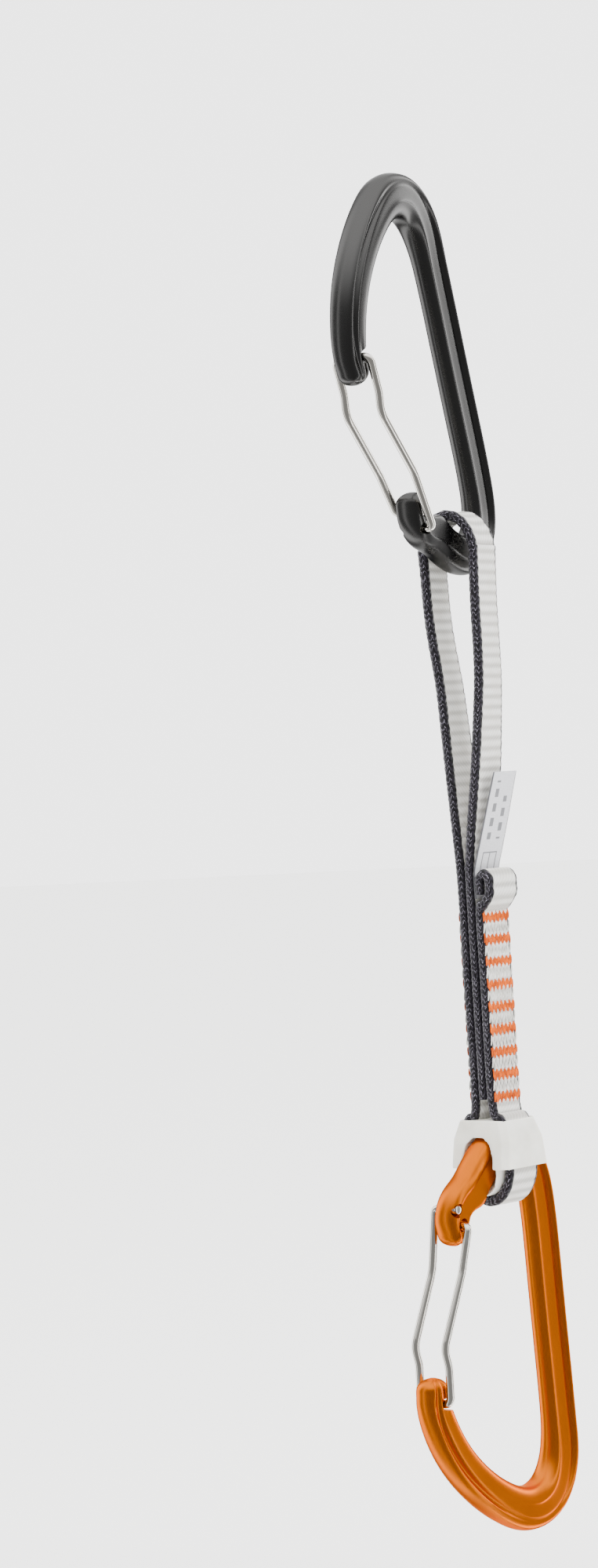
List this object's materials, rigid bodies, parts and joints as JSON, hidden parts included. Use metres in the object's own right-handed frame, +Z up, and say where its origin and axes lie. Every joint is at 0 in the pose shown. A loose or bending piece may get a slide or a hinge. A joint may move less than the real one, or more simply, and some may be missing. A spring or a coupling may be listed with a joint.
{
  "type": "climbing quickdraw",
  "caption": "Climbing quickdraw: two wire-gate carabiners joined by a sewn webbing sling, with a rubber keeper that holds the rope-end carabiner.",
  "frame": {"origin": "inside of the upper carabiner's wide basket, at its highest point, where the anchor carries the quickdraw", "axes": "+Z up along the hanging quickdraw, +X from the gates toward the spines, +Y away from the face with the thicker sewn flap"},
  "size_m": [0.0724, 0.0225, 0.3409],
  "materials": {
    "anchor_body": "polished dark anodised",
    "rope_body": "polished orange anodised",
    "gate_wire": "polished",
    "webbing": "woven",
    "stitching": "thread",
    "label": "woven satin",
    "keeper": "matt, slightly clear"
  },
  "bodies": {
    "anchor_carabiner": {"anchor_carabiner_body": "anchor_body"},
    "anchor_gate": {"anchor_gate_wire": "gate_wire"},
    "sling": {"sling_webbing": "webbing", "sling_bar_tacks": "stitching", "sling_label": "label", "rubber_keeper": "keeper"},
    "rope_carabiner": {"rope_carabiner_body": "rope_body"},
    "rope_gate": {"rope_gate_wire": "gate_wire"}
  },
  "joints": [
    {"name": "anchor_gate_hinge", "type": "hinge", "parent": "anchor_carabiner", "child": "anchor_gate", "pos_m": [0.00001, 0, -0.07431], "axis": [0, 1, 0], "range_deg": [0, 28], "stiffness_Nm_per_rad": 0.6, "springref_deg": -11.46},
    {"name": "sling_swing", "type": "hinge", "parent": "anchor_carabiner", "child": "sling", "pos_m": [0.02167, 0, -0.08265], "axis": [1, 0, 0], "range_deg": [-16, 16]},
    {"name": "rope_carabiner_swing", "type": "hinge", "parent": "sling", "child": "rope_carabiner", "pos_m": [0.02167, 0, -0.23195], "axis": [0.9816, -0.1908, 0], "range_deg": [-5, 5], "stiffness_Nm_per_rad": 0.1},
    {"name": "rope_gate_hinge", "type": "hinge", "parent": "rope_carabiner", "child": "rope_gate", "pos_m": [0.0026, 0.00371, -0.24724], "axis": [-0.1908, -0.9816, 0], "range_deg": [0, 28], "stiffness_Nm_per_rad": 0.6, "springref_deg": -11.46}
  ]
}
